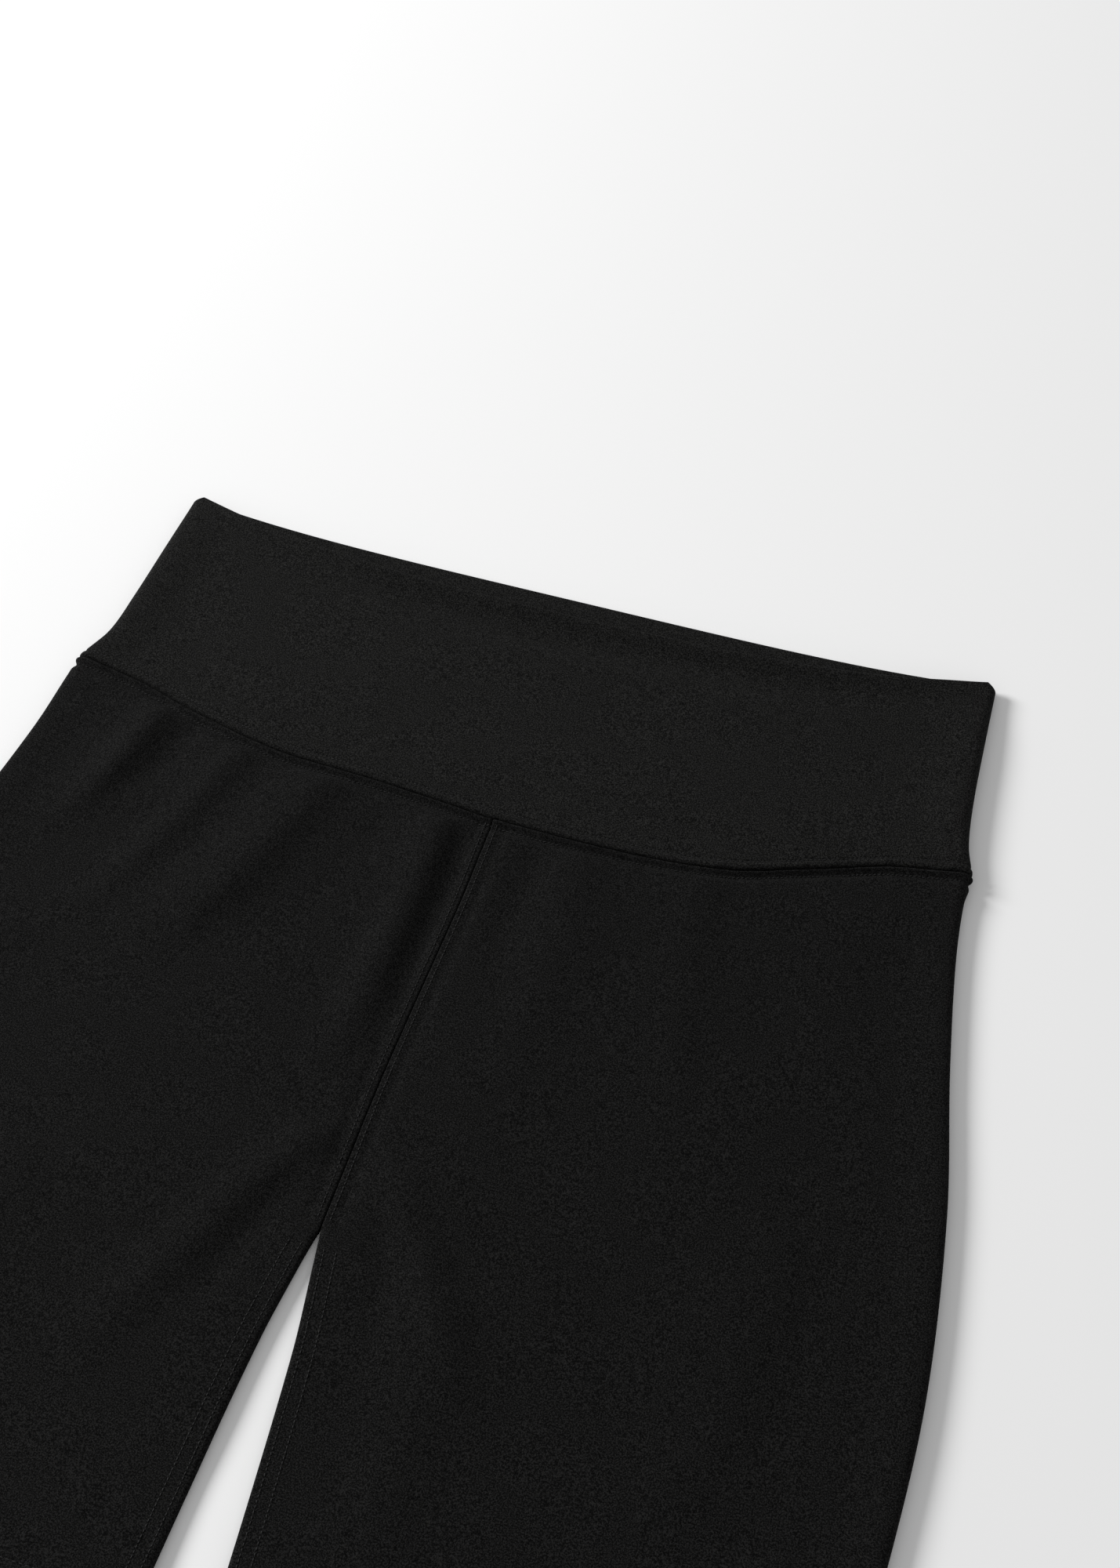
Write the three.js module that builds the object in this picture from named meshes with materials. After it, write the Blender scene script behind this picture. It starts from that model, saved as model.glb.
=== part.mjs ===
// Legging shorts of black knit, laid flat with the front up and the waist towards +Y.
// A wide waistband of doubled cloth closes into a flattened tube. Each leg is one piece
// that runs from the centre front seam round the side fold to the centre back seam, and
// closes on itself along the inseam below the crotch. The back lies flat on z = 0 and the
// front lies on the back. Lengths are millimetres.
import * as THREE from 'three';

// Driving dimensions.
const LENGTH = 452;              // waist corner to hem
const CROTCH_DOWN = 300;         // waist corner to crotch
const CLOTH = 1.1;               // one ply of knit
const BAND_WALL = 2 * CLOTH;     // the band is cut double and folded at its top edge
const HEM_WALL = 2 * CLOTH;      // the hem is turned up once
const HEM_TURN = 20;             // height of the turned hem
const SEAM_GAP = 0.3;            // left between two sewn edges
const FRONT_LIP_DIP = 18.5;      // how far the front top edge sags below the corners
const BACK_LIP_DIP = 6;          // the same for the back top edge
const CORNER_DROP = 2.5;         // how far the top edge falls as it rounds a side fold
const SIDE_SPREAD = 45;          // width over which a side fold flattens
const LIP_LIFT = 1.6;            // extra height of the front top edge
const LIP_REACH = 16;            // how far that lift runs down the band
const FOLD_RAMP = 12;            // length over which a fold rises out of a seam
const CROTCH_CURL = 14;          // length over which the inner leg edges curl together

const BLACK_KNIT = { color: 0x1b1b1a, roughness: 0.92, metalness: 0 };

// Flat outline and thickness, a row for each level below the waist corners: half widths to
// the wearer's right (drawn at -X) and left (+X), the height and the reach of the rounded
// side fold, and the height of the cloth in the middle.
const SECTIONS = [
  { down: 0,   minusX: 178.0, plusX: 178.0, fold: 5.4, turn: 4.0, middle: 5.6 },
  { down: 30,  minusX: 179.0, plusX: 178.5, fold: 7.0, turn: 4.6, middle: 5.2 },
  { down: 62,  minusX: 180.5, plusX: 179.5, fold: 7.4, turn: 4.6, middle: 5.2 },
  { down: 82,  minusX: 182.5, plusX: 181.5, fold: 7.2, turn: 4.6, middle: 5.3 },
  { down: 97,  minusX: 188.5, plusX: 185.5, fold: 6.6, turn: 4.4, middle: 5.4 },
  { down: 108, minusX: 189.5, plusX: 184.5, fold: 6.0, turn: 3.8, middle: 4.9 },
  { down: 135, minusX: 191.0, plusX: 186.5, fold: 5.8, turn: 3.5, middle: 4.2 },
  { down: 180, minusX: 196.5, plusX: 193.0, fold: 5.8, turn: 3.4, middle: 3.8 },
  { down: 235, minusX: 202.5, plusX: 202.5, fold: 5.8, turn: 3.4, middle: 3.6 },
  { down: 300, minusX: 208.0, plusX: 208.0, fold: 5.8, turn: 3.4, middle: 3.8 },
  { down: 360, minusX: 206.5, plusX: 206.5, fold: 5.8, turn: 3.4, middle: 3.6 },
  { down: 420, minusX: 202.0, plusX: 202.0, fold: 5.8, turn: 3.4, middle: 4.2 },
  { down: 452, minusX: 199.5, plusX: 199.5, fold: 5.8, turn: 3.4, middle: 5.0 },
];

// The band seam: its distance below the corners at each share of the half width.
const BAND_SEAM = [
  { share: 0,    minusX: 124.0, plusX: 124.0 },
  { share: 0.25, minusX: 120.5, plusX: 124.0 },
  { share: 0.5,  minusX: 118.0, plusX: 120.5 },
  { share: 0.7,  minusX: 110.5, plusX: 109.5 },
  { share: 0.85, minusX: 103.0, plusX: 100.5 },
  { share: 1,    minusX: 98.5,  plusX: 95.5 },
];

// Where the legs meet, and how far each inner leg edge lies from there, at each level.
const CENTRE = [
  { down: 0,   x: 0,    reach: 0 },
  { down: 150, x: 1.0,  reach: 0 },
  { down: 240, x: -2.2, reach: 0 },
  { down: 300, x: -2.5, reach: 0 },
  { down: 316, x: -2.5, reach: 2.2 },
  { down: 345, x: -2.0, reach: 6.0 },
  { down: 400, x: -1.0, reach: 10.0 },
  { down: 452, x: 0,    reach: 13.0 },
];

// The largest folds of the front, as soft ridges (height > 0) and troughs (height < 0) that
// run from one point to another. The bow moves the middle of the run sideways.
const FOLDS = [
  { x1: -17,  down1: 126, x2: -27,  down2: 250, bow: 3,  width: 9,  height: 2.0 },
  { x1: -7,   down1: 128, x2: -13,  down2: 240, bow: 2,  width: 5,  height: -0.9 },
  { x1: -68,  down1: 122, x2: -112, down2: 232, bow: 4,  width: 17, height: 2.0 },
  { x1: -106, down1: 118, x2: -142, down2: 215, bow: 3,  width: 9,  height: 1.2 },
  { x1: -144, down1: 110, x2: -162, down2: 180, bow: 1,  width: 9,  height: 1.9 },
  { x1: 25,   down1: 126, x2: 20,   down2: 190, bow: 0,  width: 8,  height: -0.8 },
  { x1: 38,   down1: 126, x2: 34,   down2: 245, bow: 3,  width: 10, height: 0.8 },
  { x1: 84,   down1: 120, x2: 104,  down2: 240, bow: -2, width: 14, height: 0.7 },
  { x1: 10,   down1: 268, x2: 74,   down2: 372, bow: 4,  width: 9,  height: 1.3 },
  { x1: -9,   down1: 262, x2: -66,  down2: 384, bow: -5, width: 10, height: 1.5 },
  { x1: 40,   down1: 310, x2: 52,   down2: 428, bow: 3,  width: 12, height: 1.0 },
  { x1: -118, down1: 300, x2: -102, down2: 425, bow: -4, width: 15, height: 1.0 },
  { x1: 150,  down1: 250, x2: 128,  down2: 400, bow: 5,  width: 16, height: 0.9 },
];

// Mesh resolution.
const FRONT_STEPS = 12;          // columns across half of the front
const BACK_STEPS = 6;            // columns across half of the back
const TURN_STEPS = 6;            // facets round a side fold
const CURL_STEPS = 3;            // facets round an inner edge
const BAND_ROWS = 8;
const LEG_ROWS = 22;

const clamp01 = (t) => Math.min(1, Math.max(0, t));
const ease = (t) => clamp01(t) ** 2 * (3 - 2 * clamp01(t));
const mix = (a, b, t) => a + (b - a) * t;

// Reach and fall of a unit run of cloth that bends evenly through an angle.
const bentReach = (angle) => (angle > 0 ? Math.sin(angle) / angle : 1);
const bentFall = (angle) => (angle > 0 ? (1 - Math.cos(angle)) / angle : 0);

// Reads one column of a table along a smooth curve through its rows.
function read(table, column, value, key = 'down') {
  const last = table.length - 1;
  const next = table.findIndex((row) => row[key] >= value);
  const i = Math.min(Math.max(next < 0 ? last : next, 1), last);
  const [a, b] = [table[i - 1], table[i]];
  const [before, after] = [table[Math.max(i - 2, 0)], table[Math.min(i + 1, last)]];
  const span = b[key] - a[key];
  const slopeA = span * (b[column] - before[column]) / (b[key] - before[key]);
  const slopeB = span * (after[column] - a[column]) / (after[key] - a[key]);
  const t = clamp01((value - a[key]) / span);
  const rise = 3 * t ** 2 - 2 * t ** 3;
  const bend = slopeA * (t ** 3 - 2 * t ** 2 + t) + slopeB * (t ** 3 - t ** 2);
  return mix(a[column], b[column], rise) + bend;
}

// Edges of the band, as distance below the corners, at a share of the half width.
const frontLip = (share) => FRONT_LIP_DIP * (1 - share ** 3);
const backLip = (share) => BACK_LIP_DIP * (1 - share ** 4);
const sideColumn = (side) => (side < 0 ? 'minusX' : 'plusX');
const bandSeam = (side, share) => read(BAND_SEAM, sideColumn(side), share, 'share');
const halfWidth = (side, down) => read(SECTIONS, sideColumn(side), down);

// Height that the folds add at a point of the front.
function foldHeight(x, down) {
  return FOLDS.reduce((sum, fold) => {
    const run = fold.down2 - fold.down1;
    const t = (down - fold.down1) / run;
    if (t <= 0 || t >= 1) return sum;
    const crest = mix(fold.x1, fold.x2, t) + fold.bow * 4 * t * (1 - t);
    const across = Math.exp(-(((x - crest) / fold.width) ** 2));
    return sum + fold.height * across * ease(t * run / FOLD_RAMP) * ease((1 - t) * 2);
  }, 0);
}

// Height of the upper face of the front over the surface that the shorts lie on.
function frontHeight(side, x, down, wall) {
  const middle = read(SECTIONS, 'middle', down);
  const inward = halfWidth(side, down) - read(SECTIONS, 'turn', down) - Math.abs(x);
  const height = mix(middle, read(SECTIONS, 'fold', down), ease(1 - inward / SIDE_SPREAD));
  return Math.max(height + foldHeight(x, down), 2 * wall + SEAM_GAP);
}

// One point of the flattened tube. A station names the layer, the share of the half width
// and, on a rounded edge, how far round it is (0 to 1). The inner face lies a wall inside.
function place(side, station, down, wall, inner) {
  const turn = read(SECTIONS, 'turn', down);
  const foldX = halfWidth(side, down) - turn;
  const clear = Math.max(read(CENTRE, 'reach', down), SEAM_GAP / 2);
  const reach = station.leg ? clear + side * read(CENTRE, 'x', down) : 0;
  const inset = inner ? wall : 0;
  const curlAngle = (Math.PI / 2) * ease((down - CROTCH_DOWN) / CROTCH_CURL);
  const edgeHeight = frontHeight(side, side * reach, down, wall);
  const curl = station.leg ? (edgeHeight - SEAM_GAP) * Math.PI / 4 : 0;
  const startX = reach + curl * bentReach(curlAngle);
  const x = mix(startX, foldX, station.share);
  const front = frontHeight(side, side * x, down, wall);
  let [px, pz] = [x, 0];
  if (station.layer === 'front') pz = front - inset;
  if (station.layer === 'back') pz = inset;
  if (station.layer === 'turn') {
    const angle = Math.PI * (0.5 - station.round);
    px = foldX + (turn - inset) * Math.cos(angle);
    pz = front / 2 + (front / 2 - inset) * Math.sin(angle);
  }
  if (station.layer === 'frontCurl' || station.layer === 'backCurl') {
    const angle = curlAngle * station.round;
    const run = curl * station.round;
    px = startX - run * bentReach(angle) + inset * Math.sin(angle);
    pz = run * bentFall(angle) + inset * Math.cos(angle);
    if (station.layer === 'frontCurl') pz = front - pz;
  }
  return new THREE.Vector3(side * px, LENGTH / 2 - down, pz);
}

// Stations from one edge of a half section, over the front, round the fold, to the back.
function halfStations(leg) {
  const steps = (count, make) => Array.from({ length: count }, (_, i) => make(i));
  const curls = leg ? CURL_STEPS : 0;
  return [
    ...steps(curls, (i) => ({ leg, layer: 'frontCurl', share: 0, round: 1 - i / curls })),
    ...steps(FRONT_STEPS, (i) => ({ leg, layer: 'front', share: i / FRONT_STEPS })),
    ...steps(TURN_STEPS + 1, (i) => ({ leg, layer: 'turn', share: 1, round: i / TURN_STEPS })),
    ...steps(BACK_STEPS, (i) => ({ leg, layer: 'back', share: 1 - (i + 1) / BACK_STEPS })),
    ...steps(curls, (i) => ({ leg, layer: 'backCurl', share: 0, round: (i + 1) / curls })),
  ];
}

// A closed wall from matching grids of outer and inner points (rows of columns). The
// columns of a tube join up, and those of an open piece end in a cut edge.
function wallGeometry(outer, inner, tube, flip) {
  const [rows, columns] = [outer.length, outer[0].length];
  const spans = tube ? columns : columns - 1;
  const index = [];
  const at = (face, r, c) => (face * rows + r) * columns + (c % columns);
  const quad = (a, b, c, d) => index.push(...(flip ? [a, c, b, a, d, c] : [a, b, c, a, c, d]));
  for (let c = 0; c < spans; c += 1) {
    for (let r = 0; r < rows - 1; r += 1) {
      quad(at(0, r, c), at(0, r + 1, c), at(0, r + 1, c + 1), at(0, r, c + 1));
      quad(at(1, r, c), at(1, r, c + 1), at(1, r + 1, c + 1), at(1, r + 1, c));
    }
    quad(at(0, 0, c), at(0, 0, c + 1), at(1, 0, c + 1), at(1, 0, c));
    quad(at(0, rows - 1, c), at(1, rows - 1, c), at(1, rows - 1, c + 1), at(0, rows - 1, c + 1));
  }
  for (let r = 0; r < rows - 1 && !tube; r += 1) {
    quad(at(0, r, 0), at(1, r, 0), at(1, r + 1, 0), at(0, r + 1, 0));
    quad(at(0, r, spans), at(0, r + 1, spans), at(1, r + 1, spans), at(1, r, spans));
  }
  const points = [...outer.flat(), ...inner.flat()].flatMap((p) => p.toArray());
  const geometry = new THREE.BufferGeometry();
  geometry.setAttribute('position', new THREE.Float32BufferAttribute(points, 3));
  geometry.setIndex(index);
  geometry.computeVertexNormals();
  return geometry;
}

function namedMesh(name, geometry) {
  const mesh = new THREE.Mesh(geometry, new THREE.MeshStandardMaterial(BLACK_KNIT));
  mesh.name = name;
  return mesh;
}

// The waistband: both halves of the section make one closed loop.
function waistband() {
  const half = halfStations(false);
  const loop = [
    ...half.map((station) => ({ side: 1, station })),
    ...half.slice(1, -1).reverse().map((station) => ({ side: -1, station })),
  ];
  const topOf = ({ layer, share, round = 0 }) => {
    const lip = layer === 'back' ? backLip(share) : frontLip(share);
    return lip + CORNER_DROP * Math.sin(Math.PI * round);
  };
  const lipLift = (station, down) => {
    if (station.layer !== 'front') return 0;
    const below = (down - frontLip(station.share)) / LIP_REACH;
    return LIP_LIFT * ease(1 - below) * (1 - station.share ** 4);
  };
  const grid = (inner) => Array.from({ length: BAND_ROWS + 1 }, (_, row) => (
    loop.map(({ side, station }) => {
      const down = mix(topOf(station), bandSeam(side, station.share), row / BAND_ROWS);
      const point = place(side, station, down, BAND_WALL, inner);
      return point.setZ(point.z + lipLift(station, down));
    })));
  return namedMesh('waistband', wallGeometry(grid(false), grid(true), true, false));
}

// One leg: rows run from the band seam to the edge of the turned hem and on to the hem.
function leg(name, side) {
  const stations = halfStations(true);
  const hemStart = LENGTH - HEM_TURN;
  const rows = Array.from({ length: LEG_ROWS + 1 }, (_, row) => (
    { wall: CLOTH, level: (share) => (
      mix(bandSeam(side, share) + SEAM_GAP, hemStart, row / LEG_ROWS)) }));
  rows.push({ wall: HEM_WALL, level: () => hemStart + CLOTH });
  rows.push({ wall: HEM_WALL, level: () => LENGTH });
  const grid = (inner) => rows.map(({ wall, level }) => stations.map((station) => (
    place(side, station, level(station.share), wall, inner))));
  return namedMesh(name, wallGeometry(grid(false), grid(true), false, side < 0));
}

const shorts = new THREE.Group();
shorts.add(waistband());
shorts.add(leg('leg_right', -1));
shorts.add(leg('leg_left', 1));
export default shorts;
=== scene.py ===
"""Legging shorts of black knit, laid flat on a pale floor: cloth, stitching and stage."""
import math

import bpy
from mathutils import Matrix, Vector, noise


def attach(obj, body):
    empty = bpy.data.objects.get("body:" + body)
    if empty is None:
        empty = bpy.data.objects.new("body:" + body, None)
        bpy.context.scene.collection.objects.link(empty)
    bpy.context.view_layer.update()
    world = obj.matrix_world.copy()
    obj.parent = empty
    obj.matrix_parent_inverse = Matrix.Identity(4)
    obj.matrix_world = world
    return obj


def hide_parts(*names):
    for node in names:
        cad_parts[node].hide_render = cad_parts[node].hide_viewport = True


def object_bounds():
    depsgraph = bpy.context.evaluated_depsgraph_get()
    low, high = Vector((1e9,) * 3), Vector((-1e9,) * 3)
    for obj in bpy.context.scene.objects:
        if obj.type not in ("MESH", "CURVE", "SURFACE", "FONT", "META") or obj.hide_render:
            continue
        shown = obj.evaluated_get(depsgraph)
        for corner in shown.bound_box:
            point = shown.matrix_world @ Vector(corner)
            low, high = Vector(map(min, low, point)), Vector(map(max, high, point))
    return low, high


bl_info = {
    "name": "Laid-out legging shorts",
    "version": (1, 0, 0),
    "blender": (4, 5, 0),
    "location": "3D View > Sidebar > Shorts",
    "description": "Makes the cloth, stitching and stage of a pair of legging shorts",
    "category": "Object",
}

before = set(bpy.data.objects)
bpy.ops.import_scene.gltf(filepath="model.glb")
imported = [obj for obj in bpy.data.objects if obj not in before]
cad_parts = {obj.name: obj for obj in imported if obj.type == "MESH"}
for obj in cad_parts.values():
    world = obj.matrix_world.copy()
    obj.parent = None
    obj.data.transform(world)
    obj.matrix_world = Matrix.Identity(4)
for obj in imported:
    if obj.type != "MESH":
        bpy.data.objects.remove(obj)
CAD_LOW, CAD_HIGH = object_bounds()
MM = 0.001
LENGTH = (CAD_HIGH.y - CAD_LOW.y) / MM     # waist corner to hem, in millimetres
CROTCH_DOWN = 300.0                        # waist corner to crotch
SEAM_GAP = 0.3                             # between two sewn edges
HEM_TURN = 20.0                            # height of the doubled hem
HALF_WAIST = 178.0
CORNER_DROP = 2.5                          # how far the band's edge dips round its corners

# Stitching, in millimetres; a slant is in radians.
PROUD_STITCH, SUNK_STITCH = 0.12, -0.20    # off the front, and into the underside
SLANT = 0.42
STITCH_SHARE = 0.74                        # of the pitch that the thread shows
THREAD = 0.20                              # half its width
HEM_PITCH = 2.3
HEM_STITCHES = (18.2, 13.8)                # above the hem
INSEAM_STITCHES = (3.0, 7.4)               # beside a leg's inner edge

# Flat outline and thickness by level below the waist corners, in millimetres: half widths
# on each side, height and reach of the rounded side fold, height of the cloth mid-way.
SECTIONS = [
    dict(down=0, minus_x=178.0, plus_x=178.0, fold=5.2, turn=4.0, middle=5.6),
    dict(down=30, minus_x=179.0, plus_x=178.5, fold=7.0, turn=4.6, middle=5.2),
    dict(down=62, minus_x=180.5, plus_x=179.5, fold=7.4, turn=4.6, middle=5.2),
    dict(down=82, minus_x=182.5, plus_x=181.5, fold=7.2, turn=4.6, middle=5.3),
    dict(down=97, minus_x=188.5, plus_x=185.5, fold=6.6, turn=4.4, middle=5.4),
    dict(down=108, minus_x=189.5, plus_x=184.5, fold=6.0, turn=3.8, middle=4.9),
    dict(down=135, minus_x=191.0, plus_x=186.5, fold=5.8, turn=3.5, middle=4.2),
    dict(down=180, minus_x=196.5, plus_x=193.0, fold=5.8, turn=3.4, middle=3.8),
    dict(down=235, minus_x=202.5, plus_x=202.5, fold=5.8, turn=3.4, middle=3.6),
    dict(down=300, minus_x=208.0, plus_x=208.0, fold=5.8, turn=3.4, middle=3.8),
    dict(down=360, minus_x=206.5, plus_x=206.5, fold=5.8, turn=3.4, middle=3.6),
    dict(down=420, minus_x=202.0, plus_x=202.0, fold=5.8, turn=3.4, middle=4.2),
    dict(down=452, minus_x=199.5, plus_x=199.5, fold=5.8, turn=3.4, middle=5.0),
]

# The band seam: distance below the corners at each share of the half width.
BAND_SEAM = [
    dict(share=0, minus_x=124.0, plus_x=124.0),
    dict(share=0.25, minus_x=120.5, plus_x=124.0),
    dict(share=0.5, minus_x=118.0, plus_x=120.5),
    dict(share=0.7, minus_x=110.5, plus_x=109.5),
    dict(share=0.85, minus_x=103.0, plus_x=100.5),
    dict(share=1, minus_x=98.5, plus_x=95.5),
]

# Where the legs meet, and how far each inner leg edge lies from there.
CENTRE = [
    dict(down=0, x=0, reach=0),
    dict(down=150, x=1.0, reach=0),
    dict(down=240, x=-2.2, reach=0),
    dict(down=300, x=-2.5, reach=0),
    dict(down=316, x=-2.5, reach=2.2),
    dict(down=345, x=-2.0, reach=6.0),
    dict(down=400, x=-1.0, reach=10.0),
    dict(down=452, x=0, reach=13.0),
]

# Soft ridges (height > 0) and troughs of the front cloth. Each runs from one point to
# another, its middle moved sideways by bow; left and right are the widths of its flanks.
FOLDS = [
    dict(x1=-19, down1=126, x2=-27, down2=262, bow=4, left=9, right=7, height=2.6),
    dict(x1=-8, down1=127, x2=-13, down2=250, bow=2, left=4, right=4, height=-1.1),
    dict(x1=-68, down1=121, x2=-114, down2=236, bow=5, left=17, right=11, height=2.8),
    dict(x1=-104, down1=117, x2=-144, down2=222, bow=4, left=8, right=7, height=1.7),
    dict(x1=-143, down1=109, x2=-163, down2=182, bow=2, left=9, right=6, height=2.7),
    dict(x1=-128, down1=112, x2=-142, down2=160, bow=1, left=5, right=7, height=-1.0),
    dict(x1=-38, down1=124, x2=-62, down2=205, bow=2, left=7, right=9, height=-0.5),
    dict(x1=24, down1=126, x2=19, down2=196, bow=0, left=8, right=7, height=-1.1),
    dict(x1=39, down1=126, x2=35, down2=250, bow=4, left=9, right=11, height=1.0),
    dict(x1=84, down1=119, x2=104, down2=246, bow=-2, left=13, right=10, height=1.0),
    dict(x1=138, down1=108, x2=152, down2=226, bow=3, left=16, right=12, height=0.6),
    dict(x1=10, down1=268, x2=74, down2=372, bow=4, left=8, right=11, height=1.7),
    dict(x1=-12, down1=262, x2=-68, down2=384, bow=-5, left=11, right=8, height=1.9),
    dict(x1=40, down1=310, x2=52, down2=428, bow=3, left=11, right=13, height=1.3),
    dict(x1=-118, down1=300, x2=-102, down2=425, bow=-4, left=13, right=17, height=1.3),
    dict(x1=150, down1=250, x2=128, down2=400, bow=5, left=18, right=13, height=1.2),
    dict(x1=-160, down1=215, x2=-172, down2=330, bow=-3, left=10, right=14, height=1.0),
    dict(x1=14, down1=288, x2=30, down2=352, bow=2, left=4, right=5, height=-0.7),
    dict(x1=-17, down1=286, x2=-36, down2=350, bow=-2, left=5, right=4, height=-0.8),
]

# Raised and sunk strips along a seam: where they lie (millimetres below or beside the
# join), how high they stand and how wide they are.
BAND_RELIEF = [
    dict(at=-3.6, height=-0.44, reach=0.6),
    dict(at=-1.9, height=0.40, reach=1.2),
    dict(at=0.0, height=-0.60, reach=0.5),
    dict(at=1.4, height=0.70, reach=0.8),
    dict(at=3.9, height=-1.00, reach=1.5),
]
CENTRE_RELIEF = [
    dict(at=0.0, height=0.10, reach=0.4),
    dict(at=1.2, height=0.85, reach=0.9),
    dict(at=2.3, height=-0.35, reach=0.5),
    dict(at=5.0, height=-0.60, reach=2.4),
]
HEM_RELIEF = [
    dict(at=18.2, height=-0.35, reach=0.7),
    dict(at=16.0, height=0.12, reach=1.0),
    dict(at=13.8, height=-0.30, reach=0.6),
]


def clamp01(t):
    return min(1.0, max(0.0, t))


def ease(t):
    t = clamp01(t)
    return t * t * (3 - 2 * t)


def mix(a, b, t):
    return a + (b - a) * t


def bump(x, reach):
    """A bell of height 1 and that reach."""
    return math.exp(-((x / reach) ** 2))


def read(table, column, value, key="down"):
    """One column of a table, along a smooth curve through its rows."""
    last = len(table) - 1
    i = 1
    while i < last and table[i][key] < value:
        i += 1
    a, b = table[i - 1], table[i]
    before, after = table[max(i - 2, 0)], table[min(i + 1, last)]
    span = b[key] - a[key]
    slope_a = span * (b[column] - before[column]) / (b[key] - before[key])
    slope_b = span * (after[column] - a[column]) / (after[key] - a[key])
    t = clamp01((value - a[key]) / span)
    bend = slope_a * (t**3 - 2 * t**2 + t) + slope_b * (t**3 - t**2)
    return mix(a[column], b[column], 3 * t**2 - 2 * t**3) + bend


def side_column(side):
    return "minus_x" if side < 0 else "plus_x"


def band_seam(side, share):
    return read(BAND_SEAM, side_column(side), share, "share")


def half_width(side, down):
    return read(SECTIONS, side_column(side), down)


def front_lip(share):
    return 18.5 * (1 - share**3)


def back_lip(share):
    return 6.0 * (1 - share**4)


def fold_height(x, down):
    """What the folds add to the height of the front."""
    total = 0.0
    for fold in FOLDS:
        run = fold["down2"] - fold["down1"]
        t = (down - fold["down1"]) / run
        if 0 < t < 1:
            crest = mix(fold["x1"], fold["x2"], t) + fold["bow"] * 4 * t * (1 - t)
            flank = fold["left"] if x < crest else fold["right"]
            rise = ease(t * run / 10) * ease((1 - t) * 2)
            total += fold["height"] * bump(x - crest, flank) * rise
    return total


def relief(table, distance):
    return sum(row["height"] * bump(distance - row["at"], row["reach"]) for row in table)


def seam_relief(side, x, down):
    """What the seams add to the height of the front at a point."""
    fold_x = half_width(side, down) - read(SECTIONS, "turn", down)
    join = band_seam(side, clamp01(abs(x) / fold_x))
    below = down - join
    total = relief(BAND_RELIEF, below) if abs(below) < 12 else 0.0
    pucker = noise.noise(Vector((x / 3.1, down / 9.0, 0.5)))
    total += 0.22 * pucker * bump(below - 1.5, 5.0)
    if below > 0:
        beside = abs(x - read(CENTRE, "x", down))
        opening = ease((down - CROTCH_DOWN + 6) / 12)
        total += relief(CENTRE_RELIEF, beside) * ease(below / 5) * (1 - opening)
        if down > LENGTH - 30:
            total += relief(HEM_RELIEF, LENGTH - down)
    return total


def front_height(side, x, down):
    """Height of the upper face of the front, without its seams."""
    middle = read(SECTIONS, "middle", down)
    high = read(SECTIONS, "fold", down)
    inward = half_width(side, down) - read(SECTIONS, "turn", down) - abs(x)
    lift = 0.6 * ease(1 - inward / 17) + 0.4 * ease(1 - inward / 48)
    height = mix(middle, high, lift) + fold_height(x, down)
    share = clamp01(abs(x) / HALF_WAIST)
    below_lip = down - front_lip(share)
    if below_lip < 60:
        height += 2.4 * ease(1 - below_lip / 8) * (1 - share**4)
        height -= 2.0 * bump(below_lip - 12, 6) * bump(x - 12, 95)
    calm = ease(inward / 25)
    sway = noise.noise(Vector((x / 46, down / 38, 2.0))) * 0.55
    sway += noise.noise(Vector((x / 17, down / 21, 7.0))) * 0.16
    return height + sway * calm


def edge_inset(distance, radius):
    """How far a face sinks as it rounds an edge that lies at that distance."""
    if distance >= radius:
        return 0.0
    run = radius - distance
    return 0.92 * (radius - math.sqrt(max(radius * radius - run * run, 0.0)))


def bent_reach(angle):
    return math.sin(angle) / angle if angle > 1e-6 else 1.0


def bent_fall(angle):
    return (1 - math.cos(angle)) / angle if angle > 1e-6 else 0.0


class Station:
    """One column of a section: its layer, share of the half width and turn (0 to 1)."""

    def __init__(self, layer, share, round_=0.0):
        self.layer, self.share, self.round = layer, share, round_


def spread(total, fine, coarse, growth=1.16):
    """Shares from 0 to 1 whose steps grow from fine to coarse over that total width."""
    marks, step = [0.0], fine
    while marks[-1] < total:
        marks.append(marks[-1] + step)
        step = min(step * growth, coarse)
    return [mark / marks[-1] for mark in marks]


def half_stations(leg, sizes):
    step = sizes.column_step / MM
    across = spread(180, 0.5, step)
    back = spread(180, 0.8, step * 1.6)
    curls = 8 if leg else 0
    turns = 14
    return (
        [Station("front_curl", 0, 1 - i / curls) for i in range(curls)]
        + [Station("front", share) for share in across[:-1]]
        + [Station("turn", 1, i / turns) for i in range(turns + 1)]
        + [Station("back", share) for share in reversed(back[:-1])]
        + [Station("back_curl", 0, (i + 1) / curls) for i in range(curls)]
    )


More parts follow.
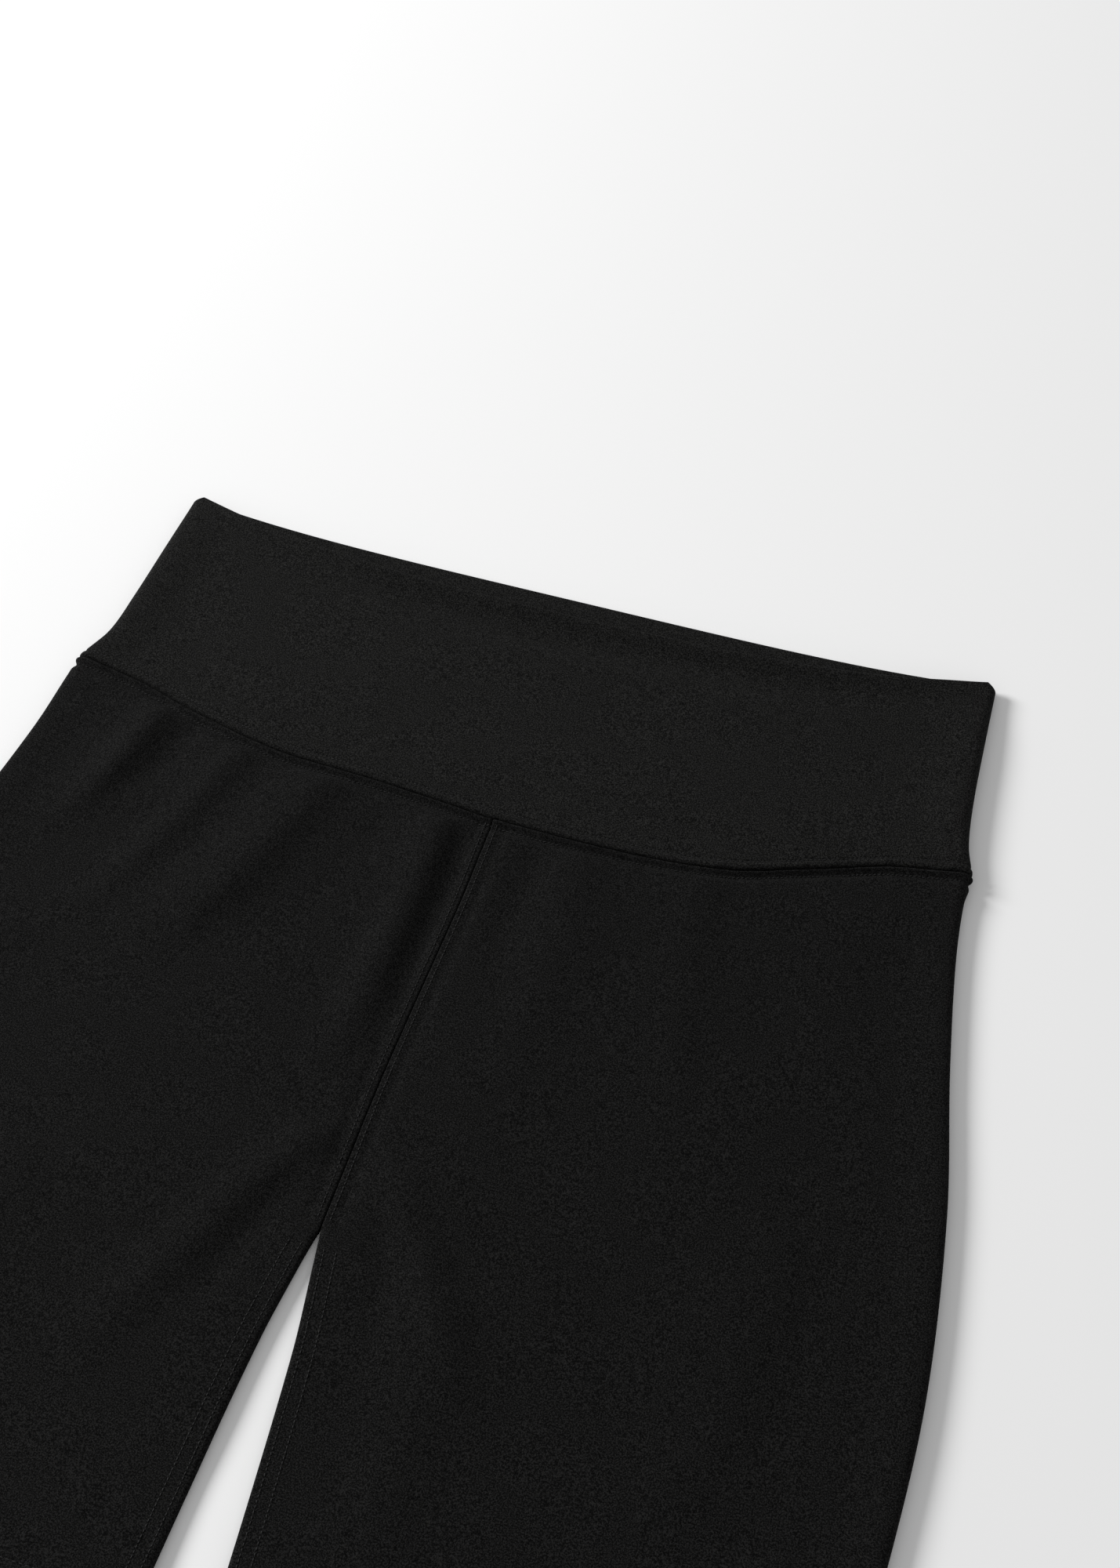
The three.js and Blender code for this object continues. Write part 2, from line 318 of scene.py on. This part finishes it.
def place(side, station, leg, down, depth, edge=0.0):
    """A point at that depth under the outer face, and its share of cloth across."""
    turn = read(SECTIONS, "turn", down)
    fold_x = half_width(side, down) - turn
    clear = max(read(CENTRE, "reach", down), SEAM_GAP / 2)
    reach = clear + side * read(CENTRE, "x", down) if leg else 0.0
    angle = (math.pi / 2) * ease((down - CROTCH_DOWN) / 14)
    curl = (front_height(side, side * reach, down) - SEAM_GAP) * math.pi / 4 if leg else 0
    start = reach + curl * bent_reach(angle)
    x = mix(start, fold_x, station.share)
    top = front_height(side, side * x, down)
    seams = seam_relief(side, side * x, down)
    out = seams - depth - edge
    sunk = min(0.0, seams) - depth - edge
    if station.layer == "front":
        return side * x, top + out
    if station.layer == "back":
        return side * x, -sunk
    if station.layer == "turn":
        tilt = math.pi * (0.5 - station.round)
        push = mix(sunk, out, 0.5 + 0.5 * math.sin(tilt))
        return (
            side * (fold_x + (turn + push) * math.cos(tilt)),
            top / 2 + (top / 2 + push) * math.sin(tilt),
        )
    bend = angle * station.round
    run = curl * station.round
    push = out if station.layer == "front_curl" else sunk
    px = start - run * bent_reach(bend) - push * math.sin(bend)
    fall = run * bent_fall(bend) - push * math.cos(bend)
    return side * px, top - fall if station.layer == "front_curl" else fall


def cloth_mesh(name, outer, inner, uvs, tube, flip):
    """A closed wall from matching grids of outer and inner points, in millimetres."""
    rows, columns = len(outer), len(outer[0])
    spans = columns if tube else columns - 1
    size = rows * columns
    faces = []

    def at(face, r, c):
        return face * size + r * columns + c % columns

    def quad(*corners):
        faces.append(corners[::-1] if flip else corners)

    for c in range(spans):
        for r in range(rows - 1):
            quad(at(0, r, c), at(0, r + 1, c), at(0, r + 1, c + 1), at(0, r, c + 1))
            quad(at(1, r, c), at(1, r, c + 1), at(1, r + 1, c + 1), at(1, r + 1, c))
        end = rows - 1
        quad(at(0, 0, c), at(0, 0, c + 1), at(1, 0, c + 1), at(1, 0, c))
        quad(at(0, end, c), at(1, end, c), at(1, end, c + 1), at(0, end, c + 1))
    if not tube:
        for r in range(rows - 1):
            quad(at(0, r, 0), at(1, r, 0), at(1, r + 1, 0), at(0, r + 1, 0))
            quad(at(0, r, spans), at(0, r + 1, spans), at(1, r + 1, spans), at(1, r, spans))
    points = [p for grid in (outer, inner) for row in grid for p in row]
    mesh = bpy.data.meshes.new(name)
    mesh.from_pydata([[v * MM for v in p] for p in points], [], faces)
    flat = [uv for _ in range(2) for row in uvs for uv in row]
    layer = mesh.uv_layers.new(name="cloth")
    for polygon in mesh.polygons:
        wide = max(flat[v % size][0] for v in polygon.vertices)
        for loop, vertex in zip(polygon.loop_indices, polygon.vertices):
            u, v = flat[vertex % size]
            wrapped = tube and wide - u > uvs[0][-1][0] / 2
            layer.data[loop].uv = ((u + uvs[0][-1][0] if wrapped else u) * 10, v * 10)
    mesh.update()
    mesh.polygons.foreach_set("use_smooth", [True] * len(mesh.polygons))
    obj = bpy.data.objects.new(name, mesh)
    bpy.context.collection.objects.link(obj)
    return obj


def cloth_uvs(grid, downs):
    """Distance along the cloth and down it, in metres, for each point of a grid."""
    uvs = []
    for row, levels in zip(grid, downs):
        run, line = 0.0, []
        for i, point in enumerate(row):
            if i:
                run += math.hypot(point[0] - row[i - 1][0], point[2] - row[i - 1][2])
            line.append((run * MM, levels[i] * MM))
        uvs.append(line)
    return uvs


def finish_cloth(obj, node, material):
    obj.data.materials.append(material)
    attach(obj, "root")
    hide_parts(node)


def band_rows(top, seam):
    """Levels of the band's rows: fine at the folded edge and at the seam."""
    rim = [0, 0.12, 0.35, 0.7, 1.15, 1.8, 2.8, 4.2, 6, 8.5]
    tail = [0.45 * i for i in range(18)][::-1]
    middle_count = 34
    start, end = top + rim[-1], seam - tail[0]
    body = [mix(start, end, (i + 1) / (middle_count + 1)) for i in range(middle_count)]
    return [top + r for r in rim] + body + [seam - t for t in tail]


def leg_rows(seam):
    """Levels of a leg's rows: fine at the band seam, at the hem seam and at the hem."""
    head = [seam + SEAM_GAP + 0.45 * i for i in range(20)]
    hem_top = LENGTH - HEM_TURN
    count = 116
    body = [mix(head[-1], hem_top - 0.6, (i + 1) / count) for i in range(count)]
    tail = [20 - 0.55 * i for i in range(18)]
    last = [9, 7.5, 6, 4.5, 3.2, 2.2, 1.5, 1.0, 0.6, 0.3, 0.1, 0]
    return head + body + [LENGTH - t for t in tail + last]


def make_waistband(sizes):
    half = half_stations(False, sizes)
    wall = 2 * sizes.ply / MM
    loop = [(1, s) for s in half] + [(-1, s) for s in reversed(half[1:-1])]
    downs = []
    for side, station in loop:
        lip = back_lip(station.share) if station.layer == "back" else front_lip(station.share)
        if station.layer == "turn":
            lip += CORNER_DROP * math.sin(math.pi * station.round)
        downs.append(band_rows(lip, band_seam(side, station.share)))
    outer, inner, levels = [], [], []
    for r in range(len(downs[0])):
        rows = [[], []]
        for (side, station), column in zip(loop, downs):
            down = column[r]
            inset = edge_inset(down - column[0], wall / 2)
            inset = max(inset, edge_inset(column[-1] - down, 0.5))
            for row, depth in zip(rows, (inset, wall - inset)):
                x, z = place(side, station, False, down, depth)
                row.append((x, LENGTH / 2 - down, z))
        outer.append(rows[0])
        inner.append(rows[1])
        levels.append([column[r] for column in downs])
    uvs = cloth_uvs(outer, levels)
    obj = cloth_mesh("waistband_cloth", outer, inner, uvs, True, False)
    material = knit_material("brushed_band", sizes.band_light, sizes)
    finish_cloth(obj, "waistband", material)


def make_leg(name, side, sizes):
    stations = half_stations(True, sizes)
    ply = sizes.ply / MM
    downs = [leg_rows(band_seam(side, station.share)) for station in stations]
    outer, inner, levels = [], [], []
    for r in range(len(downs[0])):
        rows = [[], []]
        for station, column in zip(stations, downs):
            down = column[r]
            wall = ply * (1 + ease((down - (LENGTH - HEM_TURN)) / 0.8))
            inset = edge_inset(down - column[0], 0.5)
            inset = max(inset, edge_inset(LENGTH - down, wall / 2))
            if station.layer.endswith("curl"):
                inset = max(inset, edge_inset((1 - station.round) * 2.5, 0.5))
            for row, depth in zip(rows, (inset, wall - min(inset, wall / 2 - 0.05))):
                x, z = place(side, station, True, down, depth)
                row.append((x, LENGTH / 2 - down, z))
        outer.append(rows[0])
        inner.append(rows[1])
        levels.append([column[r] for column in downs])
    uvs = cloth_uvs(outer, levels)
    obj = cloth_mesh(f"{name}_cloth", outer, inner, uvs, False, side < 0)
    material = knit_material("brushed_leg", sizes.leg_light, sizes)
    finish_cloth(obj, name, material)


# Stitching ---------------------------------------------------------------------------

def stitch_template():
    """One stitch: a short rounded thread, made along X and centred, in millimetres."""
    bpy.ops.object.select_all(action="DESELECT")
    bpy.ops.mesh.primitive_uv_sphere_add(segments=6, ring_count=5, radius=1.0)
    obj = bpy.context.object
    bpy.ops.object.mode_set(mode="EDIT")
    bpy.ops.mesh.select_all(action="SELECT")
    bpy.ops.transform.rotate(value=math.pi / 2, orient_axis="Y", center_override=(0, 0, 0))
    bpy.ops.object.mode_set(mode="OBJECT")
    corners = [v.co.copy() for v in obj.data.vertices]
    faces = [tuple(p.vertices) for p in obj.data.polygons]
    bpy.data.objects.remove(obj)
    return corners, faces


def surface_point(side, x, down, under):
    """A point on the outer face of the front, or of the back when under is true."""
    seams = seam_relief(side, x, down)
    z = -min(0.0, seams) if under else front_height(side, x, down) + seams
    return Vector((x, LENGTH / 2 - down, z))


def stitch_run(path, pitch, under, slant=0.0, proud=0.0):
    """Places for stitches along a path of (side, x, down) points, pitch millimetres apart."""
    points = [surface_point(*p, under) for p in path]
    places, travelled, index = [], 0.0, 0
    target = pitch / 2
    for i in range(1, len(points)):
        a, b = points[i - 1], points[i]
        step = (b - a).length
        while step > 0 and travelled + step >= target:
            t = (target - travelled) / step
            side, x, down = (mix(p, q, t) for p, q in zip(path[i - 1], path[i]))
            side = path[i][0]
            here = surface_point(side, x, down, under)
            along = (b - a).normalized()
            probe = surface_point(side, x + 0.4, down, under)
            probe_down = surface_point(side, x, down + 0.4, under)
            normal = (probe_down - here).cross(probe - here).normalized()
            if under:
                normal = -normal
            across = normal.cross(along).normalized()
            wobble = noise.noise(Vector((index * 0.7, x * 0.1, down * 0.1)))
            turn = slant + 0.10 * wobble
            forward = (along * math.cos(turn) + across * math.sin(turn)).normalized()
            sideways = normal.cross(forward).normalized()
            half = pitch * STITCH_SHARE / 2 * (1 + 0.06 * wobble)
            basis = Matrix((forward * half, sideways * THREAD, normal * THREAD * 0.8))
            places.append((here + normal * proud, basis.transposed()))
            target += pitch
            index += 1
        travelled += step
    return places


def stitch_object(name, places):
    """Joins a copy of the stitch at each place into one piece."""
    corners, faces = stitch_template()
    points, polygons = [], []
    for centre, basis in places:
        base = len(points)
        points += [(centre + basis @ corner) * MM for corner in corners]
        polygons += [tuple(base + i for i in face) for face in faces]
    mesh = bpy.data.meshes.new(name)
    mesh.from_pydata(points, [], polygons)
    mesh.polygons.foreach_set("use_smooth", [True] * len(mesh.polygons))
    obj = bpy.data.objects.new(name, mesh)
    bpy.context.collection.objects.link(obj)
    obj.data.materials.append(thread_material())
    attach(obj, "root")


def band_path(offset):
    """A path right across the front or back, that far below the band seam."""
    path = []
    for i in range(-96, 97):
        side = -1 if i < 0 else 1
        share = abs(i) / 96
        down = band_seam(side, share) + offset
        fold_x = half_width(side, down) - read(SECTIONS, "turn", down)
        path.append((side, side * share * fold_x, down))
    return path


def centre_path(offset):
    """A path beside the centre seam, from the band seam to the crotch."""
    start = band_seam(1, 0) + 2.2
    levels = [mix(start, CROTCH_DOWN - 1, i / 90) for i in range(91)]
    side = 1 if offset > 0 else -1
    return [(side, read(CENTRE, "x", down) + offset, down) for down in levels]


def hem_path(side, offset):
    """A path across one leg, that far above its hem."""
    down = LENGTH - offset
    inner = read(CENTRE, "reach", down) + side * read(CENTRE, "x", down) + 3.2
    outer = half_width(side, down) - read(SECTIONS, "turn", down)
    return [(side, side * mix(inner, outer, i / 70), down) for i in range(71)]


def inseam_path(side, offset):
    """A path beside the inner edge of one leg, from the crotch to the hem."""
    path = []
    for i in range(81):
        down = mix(CROTCH_DOWN + 9, LENGTH - 1, i / 80)
        inner = read(CENTRE, "reach", down) + side * read(CENTRE, "x", down)
        path.append((side, side * (inner + offset), down))
    return path


# Materials ---------------------------------------------------------------------------

def new_group(name, inputs, outputs):
    group = bpy.data.node_groups.new(name, "ShaderNodeTree")
    for label, kind, value in inputs:
        socket = group.interface.new_socket(label, in_out="INPUT", socket_type=kind)
        socket.default_value = value
    for label, kind in outputs:
        group.interface.new_socket(label, in_out="OUTPUT", socket_type=kind)
    return group


def add(tree, kind, **settings):
    node = tree.nodes.new(kind)
    for key, value in settings.items():
        setattr(node, key, value)
    return node


def link(tree, source, target):
    tree.links.new(source, target)


def math_node(tree, operation, a, b=None, c=None):
    node = add(tree, "ShaderNodeMath", operation=operation)
    for socket, value in zip(node.inputs, (a, b, c)):
        if isinstance(value, (int, float)):
            socket.default_value = value
        elif value is not None:
            link(tree, value, socket)
    return node.outputs[0]


def knit_group():
    """Fine brushed knit: speckled colour, roughness and the height of its loops."""
    if "fine_knit" in bpy.data.node_groups:
        return bpy.data.node_groups["fine_knit"]
    colour, number = "NodeSocketColor", "NodeSocketFloat"
    group = new_group(
        "fine_knit",
        [
            ("Dark", colour, (0.004, 0.004, 0.004, 1)),
            ("Light", colour, (0.02, 0.02, 0.02, 1)),
            ("Speckle size", number, 1900.0),
            ("Wale pitch", number, 0.00045),
        ],
        [("Colour", colour), ("Roughness", number), ("Height", number)],
    )
    source = add(group, "NodeGroupInput")
    result = add(group, "NodeGroupOutput")
    position = add(group, "ShaderNodeTexCoord")
    uv = add(group, "ShaderNodeUVMap", uv_map="cloth")
    speckle = add(group, "ShaderNodeTexNoise", noise_dimensions="3D")
    speckle.inputs["Detail"].default_value = 2.0
    speckle.inputs["Roughness"].default_value = 0.75
    link(group, position.outputs["Object"], speckle.inputs["Vector"])
    link(group, source.outputs["Speckle size"], speckle.inputs["Scale"])
    grain = add(group, "ShaderNodeValToRGB")
    grain.color_ramp.elements[0].position = 0.44
    grain.color_ramp.elements[1].position = 0.62
    link(group, speckle.outputs["Fac"], grain.inputs["Fac"])
    mottle = add(group, "ShaderNodeTexNoise", noise_dimensions="3D")
    mottle.inputs["Scale"].default_value = 330.0
    mottle.inputs["Detail"].default_value = 4.0
    link(group, position.outputs["Object"], mottle.inputs["Vector"])
    blend = math_node(group, "MULTIPLY", grain.outputs["Color"], 0.9)
    soft = math_node(group, "MULTIPLY", mottle.outputs["Fac"], 0.22)
    mask = math_node(group, "ADD", blend, soft)
    tint = add(group, "ShaderNodeMix", data_type="RGBA")
    link(group, mask, tint.inputs["Factor"])
    link(group, source.outputs["Dark"], tint.inputs["A"])
    link(group, source.outputs["Light"], tint.inputs["B"])
    link(group, tint.outputs["Result"], result.inputs["Colour"])
    rough = math_node(group, "MULTIPLY_ADD", mask, -0.14, 0.96)
    link(group, rough, result.inputs["Roughness"])
    split = add(group, "ShaderNodeSeparateXYZ")
    link(group, uv.outputs["UV"], split.inputs["Vector"])
    turns = math_node(group, "DIVIDE", 2 * math.pi * 0.1, source.outputs["Wale pitch"])
    across = math_node(group, "MULTIPLY", split.outputs["X"], turns)
    down = math_node(group, "MULTIPLY", split.outputs["Y"], turns)
    wale = math_node(group, "SINE", across)
    lean = math_node(group, "MULTIPLY", wale, 1.1)
    course = math_node(group, "SINE", math_node(group, "ADD", down, lean))
    loops = math_node(group, "MULTIPLY", math_node(group, "ADD", wale, course), 0.22)
    height = math_node(group, "ADD", loops, math_node(group, "MULTIPLY", mask, 0.8))
    link(group, height, result.inputs["Height"])
    return group


def principled(name):
    material = bpy.data.materials.new(name)
    material.use_nodes = True
    tree = material.node_tree
    return material, tree, tree.nodes["Principled BSDF"]


def knit_material(name, light, sizes):
    if name in bpy.data.materials:
        return bpy.data.materials[name]
    material, tree, shader = principled(name)
    knit = add(tree, "ShaderNodeGroup", node_tree=knit_group())
    knit.inputs["Dark"].default_value = (*sizes.cloth_dark, 1)
    knit.inputs["Light"].default_value = (*light, 1)
    knit.inputs["Wale pitch"].default_value = sizes.wale
    link(tree, knit.outputs["Colour"], shader.inputs["Base Color"])
    link(tree, knit.outputs["Roughness"], shader.inputs["Roughness"])
    dents = add(tree, "ShaderNodeBump")
    dents.inputs["Strength"].default_value = 0.6
    dents.inputs["Distance"].default_value = 0.00012
    link(tree, knit.outputs["Height"], dents.inputs["Height"])
    link(tree, dents.outputs["Normal"], shader.inputs["Normal"])
    shader.inputs["Specular IOR Level"].default_value = 0.05
    shader.inputs["Sheen Weight"].default_value = 0.007
    shader.inputs["Sheen Roughness"].default_value = 0.45
    return material


def thread_material():
    if "black_thread" in bpy.data.materials:
        return bpy.data.materials["black_thread"]
    material, tree, shader = principled("black_thread")
    position = add(tree, "ShaderNodeTexCoord")
    twist = add(tree, "ShaderNodeTexNoise")
    twist.inputs["Scale"].default_value = 5200.0
    link(tree, position.outputs["Object"], twist.inputs["Vector"])
    tint = add(tree, "ShaderNodeMix", data_type="RGBA")
    tint.inputs["A"].default_value = (0.003, 0.003, 0.003, 1)
    tint.inputs["B"].default_value = (0.026, 0.026, 0.026, 1)
    link(tree, twist.outputs["Fac"], tint.inputs["Factor"])
    link(tree, tint.outputs["Result"], shader.inputs["Base Color"])
    rough = add(tree, "ShaderNodeMapRange")
    rough.inputs["To Min"].default_value = 0.45
    rough.inputs["To Max"].default_value = 0.7
    link(tree, twist.outputs["Fac"], rough.inputs["Value"])
    link(tree, rough.outputs["Result"], shader.inputs["Roughness"])
    shader.inputs["Specular IOR Level"].default_value = 0.15
    return material


def floor_material(stage):
    material, tree, shader = principled("pale_floor")
    position = add(tree, "ShaderNodeTexCoord")
    grain = add(tree, "ShaderNodeTexNoise")
    grain.inputs["Scale"].default_value = 6.0
    link(tree, position.outputs["Object"], grain.inputs["Vector"])
    tint = add(tree, "ShaderNodeMix", data_type="RGBA")
    tint.inputs["A"].default_value = (*[c * 0.995 for c in stage.floor_colour], 1)
    tint.inputs["B"].default_value = (*stage.floor_colour, 1)
    link(tree, grain.outputs["Fac"], tint.inputs["Factor"])
    link(tree, tint.outputs["Result"], shader.inputs["Base Color"])
    shader.inputs["Roughness"].default_value = 0.95
    shader.inputs["Specular IOR Level"].default_value = 0.0
    return material


# The add-on --------------------------------------------------------------------------

class ShortsSizes(bpy.types.PropertyGroup):
    """Sizes and colours of the shorts."""

    ply: bpy.props.FloatProperty(
        name="Ply", description="Thickness of one layer of knit",
        default=0.0011, unit="LENGTH")
    column_step: bpy.props.FloatProperty(
        name="Column step", description="Widest spacing of the cloth's mesh columns",
        default=0.0026, unit="LENGTH")
    pitch: bpy.props.FloatProperty(
        name="Stitch pitch", description="Length of one stitch and its gap",
        default=0.0017, unit="LENGTH")
    band_rows_apart: bpy.props.FloatProperty(
        name="Band seam rows", description="How far each stitch row lies from the join",
        default=0.0037, unit="LENGTH")
    centre_rows_apart: bpy.props.FloatProperty(
        name="Centre seam rows", description="How far each row lies from the centre seam",
        default=0.0023, unit="LENGTH")
    wale: bpy.props.FloatProperty(
        name="Wale pitch", description="Width of one knitted loop",
        default=0.00045, unit="LENGTH")
    cloth_dark: bpy.props.FloatVectorProperty(
        name="Cloth dark", description="Darker fibres of the knit", subtype="COLOR",
        default=(0.0, 0.0, 0.0))
    band_light: bpy.props.FloatVectorProperty(
        name="Band light", description="Lighter fibres of the band", subtype="COLOR",
        default=(0.0192, 0.0191, 0.0184))
    leg_light: bpy.props.FloatVectorProperty(
        name="Leg light", description="Lighter fibres of the legs", subtype="COLOR",
        default=(0.0136, 0.0135, 0.0133))


class ShortsStage(bpy.types.PropertyGroup):
    """Camera, light and floor."""

    azimuth: bpy.props.FloatProperty(
        name="Azimuth", description="Turn of the camera round the shorts",
        default=math.radians(17.24), subtype="ANGLE")
    elevation: bpy.props.FloatProperty(
        name="Elevation", description="Height of the camera above the floor",
        default=math.radians(54.89), subtype="ANGLE")
    distance: bpy.props.FloatProperty(
        name="Distance", description="From the camera to the point that it looks at",
        default=0.7998, unit="LENGTH")
    lens: bpy.props.FloatProperty(
        name="Lens", description="Focal length of the camera in millimetres", default=46.03)
    aim: bpy.props.FloatVectorProperty(
        name="Aim", description="The point that the camera looks at", size=2,
        default=(0.0202, 0.1282), unit="LENGTH")
    key_power: bpy.props.FloatProperty(
        name="Key light", description="Power of the soft light on the left", default=118.0)
    ambient: bpy.props.FloatProperty(
        name="Ambient", description="Brightness of the light from all round", default=0.52)
    floor_colour: bpy.props.FloatVectorProperty(
        name="Floor", description="Colour of the floor", subtype="COLOR",
        default=(0.80, 0.80, 0.80))


class SHORTS_OT_waistband(bpy.types.Operator):
    """Makes the doubled waistband tube"""

    bl_idname = "shorts.waistband"
    bl_label = "Waistband"

    def execute(self, context):
        make_waistband(context.scene.shorts_sizes)
        return {"FINISHED"}


class SHORTS_OT_legs(bpy.types.Operator):
    """Makes the right and the left leg"""

    bl_idname = "shorts.legs"
    bl_label = "Legs"

    def execute(self, context):
        make_leg("leg_right", -1, context.scene.shorts_sizes)
        make_leg("leg_left", 1, context.scene.shorts_sizes)
        return {"FINISHED"}


class SHORTS_OT_stitching(bpy.types.Operator):
    """Sews the band seam, centre seams, hems and inseams"""

    bl_idname = "shorts.stitching"
    bl_label = "Stitching"

    def execute(self, context):
        sizes = context.scene.shorts_sizes
        pitch = sizes.pitch / MM
        band = sizes.band_rows_apart / MM
        centre = sizes.centre_rows_apart / MM
        for under, face in ((False, "front"), (True, "back")):
            proud = SUNK_STITCH if under else PROUD_STITCH
            rows = stitch_run(band_path(-band), pitch, under, proud=proud)
            rows += stitch_run(band_path(band), pitch, under, SLANT, proud=proud)
            stitch_object(f"band_seam_stitches_{face}", rows)
            rows = []
            for offset in (-centre, centre):
                rows += stitch_run(centre_path(offset), pitch, under, proud=proud)
            stitch_object(f"centre_seam_stitches_{face}", rows)
            rows = []
            for side in (-1, 1):
                for offset in HEM_STITCHES:
                    rows += stitch_run(hem_path(side, offset), HEM_PITCH, under, proud=proud)
                for offset in INSEAM_STITCHES:
                    rows += stitch_run(inseam_path(side, offset), pitch, under, proud=proud)
            stitch_object(f"leg_stitches_{face}", rows)
        return {"FINISHED"}


class SHORTS_OT_stage(bpy.types.Operator):
    """Makes the floor, the lights and the camera"""

    bl_idname = "shorts.stage"
    bl_label = "Stage"

    def execute(self, context):
        stage = context.scene.shorts_stage
        bpy.ops.object.select_all(action="DESELECT")
        bpy.ops.mesh.primitive_plane_add(size=8.0, location=(0, 0, CAD_LOW.z))
        floor = context.object
        floor.name = "pale_floor"
        floor.data.materials.append(floor_material(stage))
        aim = Vector((stage.aim[0], stage.aim[1], 0.0))
        level = math.cos(stage.elevation)
        back = Vector((
            math.sin(stage.azimuth) * level,
            -math.cos(stage.azimuth) * level,
            math.sin(stage.elevation)))
        bpy.ops.object.camera_add(location=aim + back * stage.distance)
        camera = context.object
        camera.name = "camera"
        camera.rotation_mode = "QUATERNION"
        camera.rotation_quaternion = (-back).to_track_quat("-Z", "Y")
        camera.data.lens = stage.lens
        camera.data.sensor_width = 36.0
        context.scene.camera = camera
        from_left = Vector((-1.0, 0.16, 0.50)).normalized()
        bpy.ops.object.light_add(type="AREA", location=aim + from_left * 3.0)
        key = context.object
        key.name = "key_light"
        key.data.shape = "DISK"
        key.data.size = 1.0
        key.data.energy = stage.key_power
        key.rotation_mode = "QUATERNION"
        key.rotation_quaternion = (-from_left).to_track_quat("-Z", "Y")
        world = bpy.data.worlds.new("studio")
        world.use_nodes = True
        sky = world.node_tree.nodes["Background"]
        sky.inputs["Color"].default_value = (1, 1, 1, 1)
        sky.inputs["Strength"].default_value = stage.ambient
        context.scene.world = world
        context.scene.view_settings.view_transform = "Standard"
        return {"FINISHED"}


class SHORTS_PT_panel(bpy.types.Panel):
    """Lists the pieces of the shorts"""

    bl_label = "Legging shorts"
    bl_idname = "SHORTS_PT_panel"
    bl_space_type = "VIEW_3D"
    bl_region_type = "UI"
    bl_category = "Shorts"

    def draw(self, context):
        layout = self.layout
        for operator in OPERATORS:
            layout.operator(operator.bl_idname)
        for group in (context.scene.shorts_sizes, context.scene.shorts_stage):
            for name in group.__annotations__:
                layout.prop(group, name)


OPERATORS = (SHORTS_OT_waistband, SHORTS_OT_legs, SHORTS_OT_stitching, SHORTS_OT_stage)
CLASSES = (ShortsSizes, ShortsStage, *OPERATORS, SHORTS_PT_panel)


def register():
    for cls in CLASSES:
        bpy.utils.register_class(cls)
    bpy.types.Scene.shorts_sizes = bpy.props.PointerProperty(type=ShortsSizes)
    bpy.types.Scene.shorts_stage = bpy.props.PointerProperty(type=ShortsStage)


def unregister():
    del bpy.types.Scene.shorts_stage
    del bpy.types.Scene.shorts_sizes
    for cls in reversed(CLASSES):
        bpy.utils.unregister_class(cls)


def main():
    register()
    bpy.ops.shorts.stage()
    bpy.ops.shorts.waistband()
    bpy.ops.shorts.legs()
    bpy.ops.shorts.stitching()


if __name__ == "__main__":
    main()
